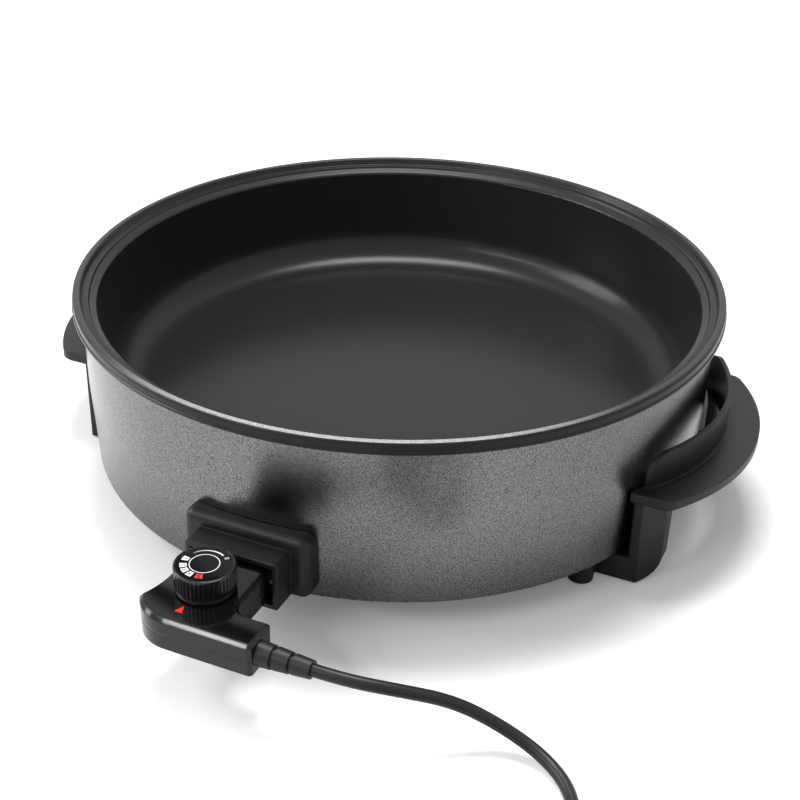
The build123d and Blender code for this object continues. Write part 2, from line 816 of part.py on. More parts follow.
# ---------------------------------------------------------------- inside of the control
with BuildPart() as earth_spring:
    tab_top = earth_tab_z + earth_tab_thickness / 2
    block_bottom = connect_z - block_height / 2
    with BuildSketch(Plane.YZ):
        with BuildLine():
            Polyline(
                (-block_front - block_length, block_bottom),
                (-block_front - 8.5, block_bottom),
                (-block_front - 5.0, tab_top + earth_clearance),
                (-block_front - 1.5, block_bottom - 1.0),
                (-block_front - 1.5, block_bottom - 0.4),
                (-block_front - 5.0, tab_top + earth_clearance + 0.7),
                (-block_front - 7.5, block_bottom + 0.8),
                (-block_front - block_length, block_bottom + 0.8),
                close=True,
            )
        make_face()
    extrude(amount=3.5, both=True)
write(earth_spring, "earth_spring")

with BuildPart() as connector_block:
    with BuildSketch(Plane.XZ.offset(block_front)):
        with Locations((0, connect_z)):
            RectangleRounded(block_width, block_height, 1.5)
    extrude(amount=block_length)
    with BuildSketch(Plane.XZ.offset(block_flange_start)):
        with Locations((0, (control_floor + control_ceiling) / 2)):
            Rectangle(2 * neck_inner, control_ceiling - control_floor)
    extrude(amount=block_flange_length)
    with BuildSketch(Plane.XZ.offset(block_front)):
        with Locations((-pin_x, connect_z), (pin_x, connect_z)):
            Circle(pin_radius + contact_clearance + contact_wall)
        with Locations((0, connect_z)):
            Circle(probe_radius)
    extrude(amount=block_length, mode=Mode.SUBTRACT)
    add(earth_spring.part, mode=Mode.SUBTRACT)
write(connector_block, "connector_block")

with BuildPart() as contact_tubes:
    with BuildSketch(Plane.XZ.offset(block_front)):
        with Locations((-pin_x, connect_z), (pin_x, connect_z)):
            Circle(pin_radius + contact_clearance + contact_wall)
            Circle(pin_radius + contact_clearance, mode=Mode.SUBTRACT)
    extrude(amount=contact_length)
write(contact_tubes, "contact_tubes")

with BuildPart() as probe_tube:
    with BuildSketch(Plane.XZ.offset(probe_tip)):
        with Locations((0, connect_z)):
            Circle(probe_radius)
    extrude(amount=block_front + block_length - probe_tip)
    fillet(probe_tube.edges().group_by(Axis.Y)[-1], 1.4)
write(probe_tube, "probe_tube")

bearing_z = control_floor + bearing_floor
switch_back = knob_y - switch_length / 2
with BuildPart() as switch_base:
    with BuildSketch(Plane.XY.offset(control_floor)):
        with Locations((0, -knob_y)):
            Rectangle(switch_width, switch_length)
    extrude(amount=switch_height)
    chamfer(switch_base.edges().filter_by(Axis.Z), 1.0)
    with BuildSketch(Plane.XY.offset(bearing_z)):
        with Locations((0, -knob_y)):
            Circle(spindle_radius + spindle_clearance)
    extrude(amount=switch_height, mode=Mode.SUBTRACT)
write(switch_base, "switch_base")

with BuildPart() as contact_blades:
    with BuildSketch(Plane.XY.offset(connect_z - blade_height / 2)):
        for side in (-1, 1):
            with Locations(
                (
                    side * (switch_width + blade_thickness) / 2,
                    -(block_front + contact_length + knob_y + switch_length / 2 - 2) / 2,
                )
            ):
                Rectangle(
                    blade_thickness,
                    knob_y + switch_length / 2 - 2 - block_front - contact_length,
                )
    extrude(amount=blade_height)
write(contact_blades, "contact_blades")

with BuildPart() as terminal_block:
    with BuildSketch(Plane.XY.offset(control_floor)):
        with Locations((terminal_start, -arm_inner_front)):
            Rectangle(terminal_length, terminal_width, align=Align.MIN)
    extrude(amount=terminal_height)
    with BuildSketch(Plane.XY.offset(control_floor + terminal_height)):
        with Locations((terminal_start + terminal_length / 2, -arm_inner_front + terminal_width / 2)):
            with GridLocations(terminal_length / 3, terminal_width, 3, 1):
                Circle(1.8)
    extrude(amount=-4, mode=Mode.SUBTRACT)
write(terminal_block, "terminal_block")

with BuildPart() as indicator_lens:
    with BuildSketch(Plane.XY.offset(control_top - lens_depth)):
        add(lens_plan.sketch)
    extrude(amount=lens_depth + lens_rise)
write(indicator_lens, "indicator_lens")

with BuildPart() as neon_lamp:
    with BuildSketch(Plane.XY.offset(control_floor)):
        with Locations((lens_x, -lens_tip - lens_length / 2 - 0.6)):
            Circle(lamp_radius)
    extrude(amount=control_top - lens_depth - control_floor)
    fillet(neon_lamp.edges().group_by(Axis.Z)[-1], 1.2)
write(neon_lamp, "neon_lamp")

# ---------------------------------------------------------------- knob
with BuildPart() as knob:
    with BuildSketch(Plane.XY.offset(knob_bottom)):
        with Locations((0, -knob_y)):
            Circle(knob_radius)
    extrude(amount=knob_height)
    fillet(knob.edges().group_by(Axis.Z)[-1], 0.8)
    with BuildSketch(Plane.XY.offset(knob_bottom)):
        with Locations((0, -knob_y)):
            with PolarLocations(knob_radius + 0.1, knob_grooves):
                Circle(knob_groove_radius)
    extrude(amount=knob_height - 1.6, mode=Mode.SUBTRACT)
    with BuildSketch(Plane.XY.offset(knob_top)):
        with Locations((0, -knob_y)):
            Circle(dial_radius)
    extrude(amount=-dial_thickness, mode=Mode.SUBTRACT)
    with BuildSketch(Plane.XY.offset(knob_bottom)):
        with Locations((0, -knob_y)):
            Circle(knob_radius - knob_wall)
            Circle(knob_hub_radius, mode=Mode.SUBTRACT)
    extrude(amount=knob_height - knob_cap, mode=Mode.SUBTRACT)
    with BuildSketch(Plane.XY.offset(knob_bottom)):
        with Locations((0, -knob_y)):
            Circle(spindle_radius)
        with Locations((spindle_radius - spindle_flat, -knob_y)):
            Rectangle(
                2 * spindle_radius,
                2 * spindle_radius,
                align=(Align.MIN, Align.CENTER),
                mode=Mode.SUBTRACT,
            )
    extrude(amount=knob_height - knob_cap + 1, mode=Mode.SUBTRACT)
write(knob, "knob")

with BuildPart() as spindle:
    with BuildSketch(Plane.XY.offset(bearing_z + spindle_lift)):
        with Locations((0, -knob_y)):
            Circle(spindle_radius)
    extrude(amount=knob_bottom + knob_height - knob_cap + 1 - bearing_z - spindle_lift)
    with BuildSketch(Plane.XY.offset(knob_bottom)):
        with Locations((spindle_radius - spindle_flat, -knob_y)):
            Rectangle(2 * spindle_radius, 2 * spindle_radius, align=(Align.MIN, Align.CENTER))
    extrude(amount=knob_height, mode=Mode.SUBTRACT)
write(spindle, "spindle")

with BuildPart() as dial_plate:
    with BuildSketch(Plane.XY.offset(knob_top - dial_thickness)):
        with Locations((0, -knob_y)):
            Circle(dial_radius)
    extrude(amount=dial_thickness)
write(dial_plate, "dial_plate")

# ---------------------------------------------------------------- strain relief and cord
relief_axis = Axis((0, -cord_y, control_split), (1, 0, 0))
relief_end = arm_end + relief_length
rib_pitch = relief_length / relief_ribs

with BuildPart() as strain_relief:
    profile = [
        (arm_end - control_wall - relief_flange_length, cord_radius),
        (arm_end - control_wall - relief_flange_length, relief_flange),
        (arm_end - control_wall, relief_flange),
        (arm_end - control_wall, relief_neck),
        (arm_end, relief_neck),
    ]
    for rib in range(relief_ribs):
        for along in (rib * rib_pitch, (rib + 1) * rib_pitch - relief_groove_width):
            wide = relief_root + (relief_tip - relief_root) * along / relief_length
            profile.append((arm_end + along, wide))
        if rib < relief_ribs - 1:
            profile.append((profile[-1][0], wide - relief_groove_depth))
            profile.append((arm_end + (rib + 1) * rib_pitch, wide - relief_groove_depth))
    profile += [(relief_end, relief_tip), (relief_end, cord_radius)]
    with BuildSketch(Plane.XZ.offset(cord_y)):
        with BuildLine():
            Polyline(*[(x, control_split + r) for x, r in profile], close=True)
        make_face()
    revolve(axis=relief_axis)
write(strain_relief, "strain_relief")

with BuildPart() as cord_clamp:
    with BuildSketch(Plane.YZ.offset(clamp_start)):
        with Locations((-cord_y, control_split)):
            Rectangle(2 * clamp_half_width, clamp_height, align=(Align.CENTER, Align.MIN))
            Circle(cord_radius, mode=Mode.SUBTRACT)
    extrude(amount=clamp_length)
write(cord_clamp, "cord_clamp")

with BuildPart() as cord_lead:
    with BuildSketch(Plane.YZ.offset(terminal_start + terminal_length)):
        with Locations((-cord_y, control_split)):
            Circle(cord_radius)
    extrude(amount=relief_end - terminal_start - terminal_length)
write(cord_lead, "cord_lead")


def arc_radii(points):
    """The radius of each corner of a cord's route: as large as its two runs allow."""
    radii = []
    for a, b, c in zip(points, points[1:], points[2:]):
        come, go = Vector(b) - Vector(a), Vector(c) - Vector(b)
        half_turn = radians(come.get_angle(go)) / 2
        radii.append(0.45 * min(come.length, go.length) * cos(half_turn) / sin(half_turn))
    return radii


coil_x = relief_end + coil_offset_x
coil_y = -cord_y - coil_offset_y
coil_outer = coil_radius + coil_columns * cord_radius
outer_turn = coil_outer - cord_radius
coil_height = 2 * coil_layers * cord_radius
tail_z = coil_height - cord_radius
plug_x = coil_x + plug_offset
plug_y = coil_y + outer_turn

cord_points = (
    (relief_end, -cord_y, control_split),
    (relief_end + 18.0, -cord_y, control_split),
    (relief_end + 41.5, -cord_y + 9.5, control_split - 5.0),
    (relief_end + 65.5, -cord_y + 23.5, control_split - 14.0),
    (relief_end + 88.5, -cord_y + 31.0, cord_radius + 10.1),
    (relief_end + 112.5, -cord_y + 28.5, cord_radius + 1.4),
    (coil_x + outer_turn - 10.4, -cord_y + 13.5, cord_radius),
    (coil_x + outer_turn - 0.9, -cord_y - 8.5, cord_radius),
    (coil_x + outer_turn, -cord_y - 31.5, cord_radius),
    (coil_x + outer_turn, coil_y + coil_stub, cord_radius),
)
tail_points = (
    (coil_x + coil_stub, plug_y, tail_z),
    (coil_x + 44.0, plug_y, tail_z),
    (coil_x + 72.0, plug_y, plug_radius),
    (plug_x, plug_y, plug_radius),
)
print("cord arc radii:", [round(r, 1) for r in arc_radii(cord_points)])
print("tail arc radii:", [round(r, 1) for r in arc_radii(tail_points)])

for cord_name, points in (("cord_tube", cord_points), ("cord_tail", tail_points)):
    with BuildPart() as cord_run:
        with BuildLine() as cord_path:
            FilletPolyline(*points, radius=arc_radii(points))
        with BuildSketch(Plane(points[0], z_dir=Vector(points[1]) - Vector(points[0]))):
            Circle(cord_radius)
        sweep()
    run_length = sum(edge.length for edge in cord_path.edges())
    filled = cord_run.part.volume / (pi * cord_radius**2 * run_length)
    print(cord_name, "length", round(run_length, 1), "volume over section x length", round(filled, 4))
    write(cord_run, cord_name)

with BuildPart() as cord_coil:
    with BuildSketch():
        with Locations((coil_x, coil_y)):
            Circle(coil_outer)
            Circle(coil_radius - coil_columns * cord_radius, mode=Mode.SUBTRACT)
    extrude(amount=coil_height)
    chamfer(cord_coil.edges(), coil_edge)
    with BuildSketch(Plane.XZ.offset(-coil_y - coil_stub)):
        with Locations((coil_x + outer_turn, cord_radius)):
            Circle(cord_radius)
    extrude(amount=coil_stub)
    with BuildSketch(Plane.YZ.offset(coil_x + coil_stub)):
        with Locations((plug_y, tail_z)):
            Circle(cord_radius)
    extrude(amount=-coil_stub)
write(cord_coil, "cord_coil")

# ---------------------------------------------------------------- plug
plug_axis = Axis((plug_x, plug_y, plug_radius), (1, 0, 0))
flare_start = plug_x + plug_relief_length + plug_grip_length
disc_start = flare_start + plug_flare_length
plug_face = disc_start + plug_disc_length

with BuildPart() as plug_pins:
    for start, pin_r, length in (
        (plug_face - plug_root_length, plug_root_radius, plug_root_length),
        (plug_face, plug_pin_radius, plug_pin_length),
    ):
        with BuildSketch(Plane.YZ.offset(start)):
            with Locations((plug_y, plug_radius)):
                with GridLocations(plug_pin_spacing, 0, 2, 1):
                    Circle(pin_r)
        extrude(amount=length)
    fillet(plug_pins.edges().group_by(Axis.X)[-1], 1.6)
write(plug_pins, "plug_pins")

with BuildPart() as plug_body:
    with BuildSketch(Plane.XZ.offset(-plug_y)) as plug_profile:
        with BuildLine():
            Polyline(
                (plug_x, plug_radius),
                (plug_x, plug_radius + plug_relief_radius),
                (plug_x + plug_relief_length, plug_radius + plug_relief_radius + 1),
                (plug_x + plug_relief_length + 2, plug_radius + plug_grip_radius),
                (flare_start, plug_radius + plug_grip_radius + 1),
                (disc_start, 2 * plug_radius),
                (plug_face, 2 * plug_radius),
                (plug_face, plug_radius),
                close=True,
            )
        make_face()
        fillet(
            nearest(plug_profile.vertices(), flare_start, plug_radius + plug_grip_radius + 1), 6
        )
    revolve(axis=plug_axis)
    with BuildSketch(Plane.YZ.offset(plug_face)):
        with Locations((plug_y, plug_radius + plug_earth_offset)):
            Circle(plug_earth_radius)
    extrude(amount=-plug_earth_depth, mode=Mode.SUBTRACT)
    with BuildSketch(Plane.YZ.offset(plug_face)):
        for side in (-1, 1):
            with Locations((plug_y, plug_radius + side * plug_radius)):
                Rectangle(5, 3)
    extrude(amount=-plug_disc_length, mode=Mode.SUBTRACT)
    add(plug_pins.part, mode=Mode.SUBTRACT)
write(plug_body, "plug_body")
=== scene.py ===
import math

import bpy
import numpy as np
from mathutils import Matrix, Vector


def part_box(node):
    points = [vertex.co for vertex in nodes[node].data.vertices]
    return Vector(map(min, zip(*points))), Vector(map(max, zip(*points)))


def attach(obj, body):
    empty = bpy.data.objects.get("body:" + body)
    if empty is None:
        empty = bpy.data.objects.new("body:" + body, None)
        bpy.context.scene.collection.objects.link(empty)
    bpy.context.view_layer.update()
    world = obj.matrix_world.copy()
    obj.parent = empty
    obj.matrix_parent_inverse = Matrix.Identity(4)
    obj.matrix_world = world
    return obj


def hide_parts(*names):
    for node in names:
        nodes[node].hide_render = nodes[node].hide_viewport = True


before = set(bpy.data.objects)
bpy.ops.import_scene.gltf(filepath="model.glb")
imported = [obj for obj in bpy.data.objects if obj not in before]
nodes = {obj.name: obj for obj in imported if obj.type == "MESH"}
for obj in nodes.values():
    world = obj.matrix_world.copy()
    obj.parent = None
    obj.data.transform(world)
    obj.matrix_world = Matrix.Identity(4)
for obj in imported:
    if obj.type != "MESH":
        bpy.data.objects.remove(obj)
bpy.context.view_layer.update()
scene = bpy.context.scene

# ------------------------------------------------------------------ camera
# The eye is half a metre above the table, in front of the control and to the right of it, and
# looks down over the rim into the well.
eye = (0.3383, -0.7708, 0.5255)
look_right = (0.911983, 0.409812, 0.018345)
look_up = (-0.220905, 0.452933, 0.863741)
look_back = (0.345662, -0.791771, 0.503602)


def add_object(name, data):
    """A new object of the scene that holds the data."""
    made = bpy.data.objects.new(name, data)
    scene.collection.objects.link(made)
    return made


camera_data = bpy.data.cameras.new("camera")
camera_data.sensor_width = 36.0
camera_data.lens = 67.5
camera_data.clip_start = 0.05
camera_data.clip_end = 60.0
camera = add_object("camera", camera_data)
camera.matrix_world = Matrix([*zip(look_right, look_up, look_back, eye), (0, 0, 0, 1)])
scene.camera = camera

# ------------------------------------------------------------------ mains cord
# A round two-core lead in a black rubber sheath, 6.8 mm thick and 1.23 m long. It leaves the
# control's strain relief, sinks to the table and is put away in a coil of nearly four turns
# beside the plug. The last part of a turn lies on top of the others.
cord_diameter = 0.0068
cord_route = np.array(
    [
        (0.0745, -0.2665, 0.0405),
        (0.0925, -0.2665, 0.0405),
        (0.116, -0.257, 0.0355),
        (0.140, -0.243, 0.0265),
        (0.163, -0.2355, 0.0135),
        (0.187, -0.238, 0.0048),
        (0.206, -0.253, 0.0034),
        (0.2155, -0.275, 0.0034),
        (0.2164, -0.298, 0.0034),
        (0.2164, -0.320, 0.0034),
    ]
)
cord_tail = np.array(
    [
        (0.175, -0.3060, 0.0170),
        (0.188, -0.3066, 0.0170),
        (0.203, -0.3066, 0.0170),
        (0.219, -0.3066, 0.0172),
        (0.247, -0.3066, 0.0185),
        (0.265, -0.3066, 0.0185),
    ]
)
coil_centre = (0.175, -0.348)
coil_outer = 0.0414
coil_inner = 0.0346


def soft_step(x):
    """Three x squared less two x cubed, held between 0 and 1."""
    x = np.clip(x, 0.0, 1.0)
    return x * x * (3.0 - 2.0 * x)


def coil_turns(centre, outer, inner, low, layer, degrees, points):
    """Clockwise turns round a centre: outer and inner turn on the table, then inner and outer
    turn on top, and the rest on top of these. Each change of place starts at an angle and is
    spread over a part of a turn by soft_step. Radii are divided by the cosine of half a
    point's angle, because the spline cuts inside its points."""
    inwards, outwards, sidestep = 282.0, 929.0, 72.0
    first_lift, second_lift, climb = 600.0, 1255.0, 60.0
    turned = np.linspace(0.0, degrees, points + 1)[:-1]
    outside = 1.0 / np.cos(np.radians(degrees / points / 2.0))
    across = soft_step((turned - inwards) / sidestep) - soft_step((turned - outwards) / sidestep)
    rise = soft_step((turned - first_lift) / climb) + soft_step((turned - second_lift) / climb)
    radius = (outer - (outer - inner) * across) * outside
    angle = np.radians(-turned)
    x = centre[0] + radius * np.cos(angle)
    y = centre[1] + radius * np.sin(angle)
    return np.column_stack((x, y, low + layer * rise))


coil = coil_turns(
    coil_centre,
    coil_outer,
    coil_inner,
    low=cord_diameter / 2,
    layer=cord_diameter,
    degrees=1350.0,
    points=60,
)
cord_points = np.vstack((cord_route, coil, cord_tail))
cord_curve = bpy.data.curves.new("mains_cord", "CURVE")
cord_curve.dimensions = "3D"
# The curve's own radius is 1 m, and the points' radii bring it down to the cord's.
cord_curve.bevel_depth = 1.0
cord_curve.bevel_resolution = 6
cord_curve.resolution_u = 8
cord_curve.render_resolution_u = 8
cord_curve.use_fill_caps = True
spline = cord_curve.splines.new("NURBS")
spline.points.add(len(cord_points) - 1)
spline.points.foreach_set(
    "co", np.column_stack((cord_points, np.ones(len(cord_points)))).ravel()
)
spline.points.foreach_set("radius", np.full(len(cord_points), cord_diameter / 2))
spline.order_u = 3
spline.use_endpoint_u = True
mains_cord = add_object("mains_cord", cord_curve)
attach(mains_cord, "thermostat")
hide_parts("cord_tube", "cord_coil", "cord_tail")


def feed(tree, entry, value):
    """Links a socket to a node's input, or sets the input to a number or a colour of three."""
    if isinstance(value, bpy.types.NodeSocket):
        tree.links.new(value, entry)
    elif isinstance(value, tuple):
        entry.default_value = (*value, 1)
    else:
        entry.default_value = value


def arithmetic(tree, operation, *values):
    """The result of a Math node on sockets and numbers."""
    node = tree.nodes.new("ShaderNodeMath")
    node.operation = operation
    for entry, value in zip(node.inputs, values):
        feed(tree, entry, value)
    return node.outputs[0]


def noise(tree, scale, detail=2.0):
    """The grey of a noise texture on Object coordinates."""
    place = tree.nodes.new("ShaderNodeTexCoord")
    texture = tree.nodes.new("ShaderNodeTexNoise")
    feed(tree, texture.inputs["Vector"], place.outputs["Object"])
    feed(tree, texture.inputs["Scale"], scale)
    feed(tree, texture.inputs["Detail"], detail)
    return texture.outputs["Fac"]


def ramp(tree, value, low, high, least=0.0, most=1.0, kind="SMOOTHSTEP"):
    """A socket that goes from least to most while the value goes from low to high."""
    node = tree.nodes.new("ShaderNodeMapRange")
    node.interpolation_type = kind
    feed(tree, node.inputs["Value"], value)
    feed(tree, node.inputs["From Min"], low)
    feed(tree, node.inputs["From Max"], high)
    feed(tree, node.inputs["To Min"], least)
    feed(tree, node.inputs["To Max"], most)
    return node.outputs[0]


def colour_mix(tree, share, first, second):
    """A socket that goes from the first colour to the second by a share."""
    in_share, in_first, in_second, out_colour = 0, 6, 7, 2
    node = tree.nodes.new("ShaderNodeMix")
    node.data_type = "RGBA"
    feed(tree, node.inputs[in_share], share)
    feed(tree, node.inputs[in_first], first)
    feed(tree, node.inputs[in_second], second)
    return node.outputs[out_colour]


def bumped(tree, height, depth, normal=None, invert=False):
    """A normal with bumps of that depth in metres, over another normal if one is given."""
    node = tree.nodes.new("ShaderNodeBump")
    node.invert = invert
    feed(tree, node.inputs["Strength"], 1.0)
    feed(tree, node.inputs["Distance"], depth)
    feed(tree, node.inputs["Height"], height)
    if normal is not None:
        feed(tree, node.inputs["Normal"], normal)
    return node.outputs[0]


def new_group(name, entries, results):
    """An empty node group with those numbers going in and out, and its two end nodes."""
    group = bpy.data.node_groups.new(name, "ShaderNodeTree")
    for kind, names in (("INPUT", entries), ("OUTPUT", results)):
        for socket in names:
            group.interface.new_socket(socket, in_out=kind, socket_type="NodeSocketFloat")
    return group, group.nodes.new("NodeGroupInput"), group.nodes.new("NodeGroupOutput")


def use_group(tree, group, values):
    """A node that stands for the group in a tree, with its inputs set by name."""
    node = tree.nodes.new("ShaderNodeGroup")
    node.node_tree = group
    for name, value in values.items():
        feed(tree, node.inputs[name], value)
    return node


def new_material(name):
    """A new material with its node tree and its Principled shader."""
    material = bpy.data.materials.new(name)
    material.use_nodes = True
    tree = material.node_tree
    return material, tree, tree.nodes["Principled BSDF"]


def grain_group():
    """Fine surface grain: two layers of noise, the second four times as coarse. Puts out the
    summed height and a slow tone that drifts over the surface."""
    group, entry, leave = new_group("fine_grain", ("Scale", "Drift scale"), ("Height", "Tone"))
    fine_share, coarser = 0.6, 0.25
    fine = noise(group, entry.outputs["Scale"])
    coarse = noise(group, arithmetic(group, "MULTIPLY", entry.outputs["Scale"], coarser))
    height = arithmetic(group, "MULTIPLY_ADD", fine, fine_share, coarse)
    feed(group, leave.inputs["Height"], height)
    feed(group, leave.inputs["Tone"], noise(group, entry.outputs["Drift scale"], detail=3.0))
    return group


grain = grain_group()


def finish_for(
    name,
    colour,
    roughness,
    metallic=0.0,
    grain_scale=1500.0,
    depth=0.00001,
    edge=0.0003,
    coat=0.0,
    drift=0.06,
    drift_scale=25.0,
    specular=0.5,
):
    """A Principled surface: the colour drifts a little lighter and darker with the grain's
    tone, the roughness follows it, the grain gives bumps of that depth in metres, and edges
    catch the light over that radius."""
    material, tree, shader = new_material(name)
    grained = use_group(tree, grain, {"Scale": grain_scale, "Drift scale": drift_scale})
    tone = grained.outputs["Tone"]
    less, more = 1 - 2 * drift, 1 + 2 * drift
    dark = tuple(c * less for c in colour)
    light = tuple(min(1.0, c * more) for c in colour)
    feed(tree, shader.inputs["Base Color"], colour_mix(tree, tone, dark, light))
    glossiest = max(0.02, roughness * less)
    dullest = min(1.0, roughness * more)
    spread = ramp(tree, tone, 0.0, 1.0, glossiest, dullest, "LINEAR")
    feed(tree, shader.inputs["Roughness"], spread)
    normal = None
    if edge:
        rounded = tree.nodes.new("ShaderNodeBevel")
        rounded.samples = 4
        feed(tree, rounded.inputs["Radius"], edge)
        normal = rounded.outputs[0]
    feed(tree, shader.inputs["Normal"], bumped(tree, grained.outputs["Height"], depth, normal))
    feed(tree, shader.inputs["Metallic"], metallic)
    feed(tree, shader.inputs["Specular IOR Level"], specular)
    if coat:
        feed(tree, shader.inputs["Coat Weight"], coat)
        feed(tree, shader.inputs["Coat Roughness"], 0.08)
    return material


def dress(material, *names):
    """Gives CAD nodes or pieces one material on all their faces."""
    for name in names:
        mesh = (nodes[name] if isinstance(name, str) else name).data
        mesh.materials.clear()
        mesh.materials.append(material)


sheath = finish_for(
    "cord_sheath",
    (0.009, 0.009, 0.0095),
    0.4,
    grain_scale=2500.0,
    depth=0.00002,
    edge=0,
    specular=0.35,
)
dress(sheath, mains_cord, "cord_lead")

# ------------------------------------------------------------------ strain relief and plug
# The relief is a ribbed boot of softer rubber on the same lead. The plug is moulded round the
# cord's end in one piece, with two nickel-plated round pins.
boot_rubber = finish_for(
    "boot_rubber",
    (0.011, 0.011, 0.0115),
    0.45,
    grain_scale=1800.0,
    depth=0.00003,
    edge=0.0004,
    specular=0.35,
)
plug_rubber = finish_for("plug_rubber", (0.018, 0.018, 0.019), 0.38, depth=0.00002, edge=0.0006)
nickel = finish_for(
    "nickel_plate", (0.66, 0.64, 0.6), 0.18, metallic=1.0, grain_scale=900.0, depth=0.000002
)
dress(boot_rubber, "strain_relief")
dress(plug_rubber, "plug_body")
dress(nickel, "plug_pins", "element_pin_left", "element_pin_right", "earth_tab")

# ------------------------------------------------------------------ coil tie
# A flat tie of black coated wire, closed round all the coil's turns on the side away from the
# plug. It is one oval section swept along a rounded rectangle.
tie_angle = math.radians(200.0)
tie_radius = (coil_outer + coil_inner) / 2
tie_centre = (
    coil_centre[0] + tie_radius * math.cos(tie_angle),
    coil_centre[1] + tie_radius * math.sin(tie_angle),
)


def grid_mesh(name, grid, closed_u=False, closed_v=False):
    """A mesh object from a grid of points (rows u, columns v), joined in squares; a closed
    direction is joined from its last row or column back to its first."""
    rows, columns = grid.shape[:2]
    u = np.arange(rows if closed_u else rows - 1)
    v = np.arange(columns if closed_v else columns - 1)
    a, b = np.meshgrid(u, v, indexing="ij")
    a2, b2 = (a + 1) % rows, (b + 1) % columns
    quads = np.stack(
        (a * columns + b, a * columns + b2, a2 * columns + b2, a2 * columns + b), axis=-1
    ).reshape(-1, 4)
    mesh = bpy.data.meshes.new(name)
    mesh.from_pydata(grid.reshape(-1, 3).tolist(), [], quads.tolist())
    mesh.update()
    mesh.polygons.foreach_set("use_smooth", np.ones(len(mesh.polygons), bool))
    return add_object(name, mesh)


def band_round(centre, angle, half_width, low, high, wire, corner, points=72, around=12):
    """The points of a wire along a rounded rectangle that stands on the table across the coil,
    a superellipse of the power given by corner. The wire is an oval, wider than thick, carried
    along it at right angles."""
    width_to_thickness = 1.8
    s = np.linspace(0, 2 * np.pi, points, endpoint=False)
    power = 2.0 / corner
    out = half_width * np.sign(np.cos(s)) * np.abs(np.cos(s)) ** power
    up = (high - low) / 2 * np.sign(np.sin(s)) * np.abs(np.sin(s)) ** power
    path = np.column_stack((out, up))
    along = np.roll(path, -1, 0) - np.roll(path, 1, 0)
    along /= np.linalg.norm(along, axis=1, keepdims=True)
    normal = np.column_stack((along[:, 1], -along[:, 0]))
    t = np.linspace(0, 2 * np.pi, around, endpoint=False)
    flat = path[:, None, :] + wire * np.cos(t)[None, :, None] * normal[:, None, :]
    side = wire * width_to_thickness * np.sin(t)[None, :] * np.ones((points, 1))
    across = np.array((math.cos(angle), math.sin(angle)))
    beside = np.array((-math.sin(angle), math.cos(angle)))
    xy = np.array(centre) + flat[..., 0:1] * across + side[..., None] * beside
    z = (high + low) / 2 + flat[..., 1:2]
    return np.concatenate((xy, z), axis=-1)


tie_band = band_round(
    tie_centre, tie_angle, half_width=0.0072, low=0.0005, high=0.0141, wire=0.0005, corner=5.0
)
coil_tie = grid_mesh("coil_tie", tie_band, closed_u=True, closed_v=True)
dress(sheath, coil_tie)
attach(coil_tie, "thermostat")

# ------------------------------------------------------------------ pan
# One aluminium casting under a baked black non-stick coating that runs over the rim bead and
# its outer band, fine as orange peel and softly shining. Light specks on the rim's crest are a
# painted highlight, most on the side towards the user; the casting is bare under the floor.
rim_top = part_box("pan")[1].z
highlight_low = rim_top - 0.00045
highlight_high = rim_top - 0.00005
bare_below = 0.0506
coated_above = 0.0512
highlight_side = (0.27, -0.96, 0.0)
coating = finish_for(
    "nonstick_coating",
    (0.017, 0.017, 0.0175),
    0.25,
    grain_scale=1100.0,
    depth=0.00002,
    edge=0,
    drift=0.05,
    drift_scale=14.0,
    specular=0.19,
)


def height_mask(tree, low, high):
    """A socket that rises smoothly from 0 to 1 between two heights above the table."""
    place = tree.nodes.new("ShaderNodeTexCoord")
    split = tree.nodes.new("ShaderNodeSeparateXYZ")
    feed(tree, split.inputs[0], place.outputs["Object"])
    return ramp(tree, split.outputs["Z"], low, high)


def place_measure(tree, operation, direction=(0.0, 0.0, 0.0)):
    """One number from the Object coordinates: LENGTH, or DOT_PRODUCT with a direction."""
    place = tree.nodes.new("ShaderNodeTexCoord")
    node = tree.nodes.new("ShaderNodeVectorMath")
    node.operation = operation
    node.inputs[1].default_value = direction
    feed(tree, node.inputs[0], place.outputs["Object"])
    return node.outputs["Value"]


def tint_by(tree, mask, colour):
    """Lays a colour over the Base Color by a mask."""
    base = tree.nodes["Principled BSDF"].inputs["Base Color"]
    feed(tree, base, colour_mix(tree, mask, base.links[0].from_socket, colour))


coat_tree = coating.node_tree
# Painted highlight: light grey specks on the top of the crest, strongest on the side towards the
# user, where the crest catches the light.
towards_highlight = place_measure(coat_tree, "DOT_PRODUCT", highlight_side)
painted_highlight = ramp(coat_tree, towards_highlight, low=0.13, high=0.195, least=0.06)
for mask in (height_mask(coat_tree, highlight_low, highlight_high), noise(coat_tree, scale=1400.0)):
    painted_highlight = arithmetic(coat_tree, "MULTIPLY", painted_highlight, mask)
tint_by(coat_tree, painted_highlight, (0.75, 0.75, 0.75))
bare = arithmetic(coat_tree, "SUBTRACT", 1.0, height_mask(coat_tree, bare_below, coated_above))
tint_by(coat_tree, bare, (0.5, 0.5, 0.51))
feed(coat_tree, coat_tree.nodes["Principled BSDF"].inputs["Metallic"], bare)
dress(coating, "pan")

# ------------------------------------------------------------------ outer shell
# Pressed sheet in a grey hammer lacquer: a metallic film full of fine light and dark specks
# that mirrors the handles and the socket softly.


def speckle_group():
    """Hammer lacquer: cells of fine noise sharpened to light and dark specks, with a second
    layer half as large. Puts out a speck mask and the height of the same specks."""
    group, entry, leave = new_group("lacquer_specks", ("Scale",), ("Specks", "Height"))
    finer, small_share = 2.1, 0.45
    dark_end, light_end = 0.56, 0.88
    large = noise(group, entry.outputs["Scale"], detail=1.0)
    small_scale = arithmetic(group, "MULTIPLY", entry.outputs["Scale"], finer)
    small = noise(group, small_scale, detail=1.0)
    height = arithmetic(group, "MULTIPLY_ADD", small, small_share, large)
    feed(group, leave.inputs["Specks"], ramp(group, height, dark_end, light_end))
    feed(group, leave.inputs["Height"], height)
    return group


